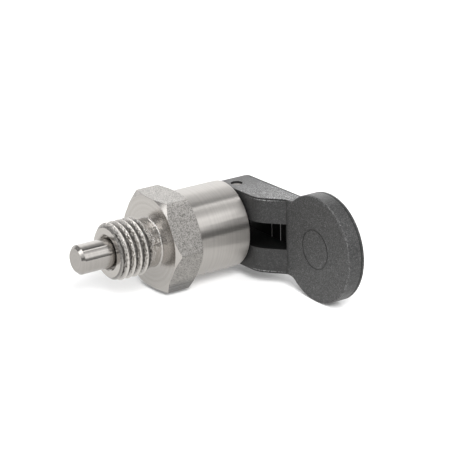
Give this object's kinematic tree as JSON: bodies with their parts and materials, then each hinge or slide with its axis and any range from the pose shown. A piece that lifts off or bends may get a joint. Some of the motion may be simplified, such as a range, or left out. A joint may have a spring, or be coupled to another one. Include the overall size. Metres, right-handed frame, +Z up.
{
  "type": "indexing plunger",
  "caption": "Indexing plunger with threaded neck, hexagon and round barrel, whose pin is drawn back by a pivoted cam lever with a round paddle.",
  "frame": {"origin": "centre of the hexagon's front face, which seats on the mounting plate", "axes": "+X along the plunger's axis from the pin to the lever, +Z up through a hexagon flat, paddle toward -Y"},
  "size_m": [0.0441, 0.0465, 0.022],
  "materials": {
    "turned_steel": "turned, with grainy drawn flats on the hexagon",
    "bush_steel": "turned",
    "pin_steel": "ground",
    "spring_steel": "drawn wire",
    "lever_plastic": "fine moulded grain",
    "pivot_steel": "ground"
  },
  "bodies": {
    "housing": {"body": "turned_steel", "guide_bush": "bush_steel"},
    "spring": {"compression_spring": "spring_steel"},
    "plunger": {"plunger_pin": "pin_steel"},
    "lever": {"lever": "lever_plastic", "pivot_pin": "pivot_steel"}
  },
  "joints": [
    {"name": "swivel", "type": "hinge", "parent": "housing", "child": "spring", "pos_m": [0, 0, 0], "axis": [-1, 0, 0], "continuous": true},
    {"name": "pin_slide", "type": "slide", "parent": "spring", "child": "plunger", "axis": [1, 0, 0], "range_m": [0, 0.0072], "stiffness_N_per_m": 1100, "springref_m": -0.0064, "deforming": ["compression_spring"]},
    {"name": "lever_swing", "type": "hinge", "parent": "plunger", "child": "lever", "pos_m": [0.0217, 0, 0], "axis": [0, -0.0286, -0.9996], "range_deg": [0, 49]}
  ],
  "couplings": [
    {"joint": "lever_swing", "follows": "pin_slide", "rad_per_m": 118.78}
  ]
}
